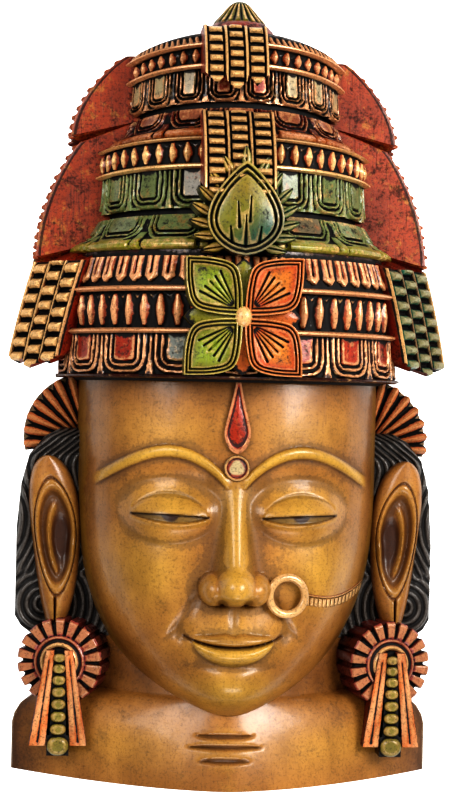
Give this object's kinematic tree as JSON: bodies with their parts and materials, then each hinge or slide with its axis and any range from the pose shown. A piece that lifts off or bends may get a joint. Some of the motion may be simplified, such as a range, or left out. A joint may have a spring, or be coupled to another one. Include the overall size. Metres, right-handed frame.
{
  "type": "deity face mask",
  "caption": "Carved and painted wooden wall mask of a calm crowned deity, with a flat hollowed back and a tall stacked crown.",
  "frame": {"origin": "middle of the flat back, on the plane that the mask lies on", "axes": "+X to the viewer's right across the mask, +Y from the cut neck up to the finial, +Z out of the face"},
  "size_m": [0.3572, 0.614, 0.1397],
  "materials": {
    "painted_wood": "carved wood, painted, rubbed with gold and varnished"
  },
  "bodies": {
    "root": {"mask": "painted_wood"}
  },
  "joints": []
}
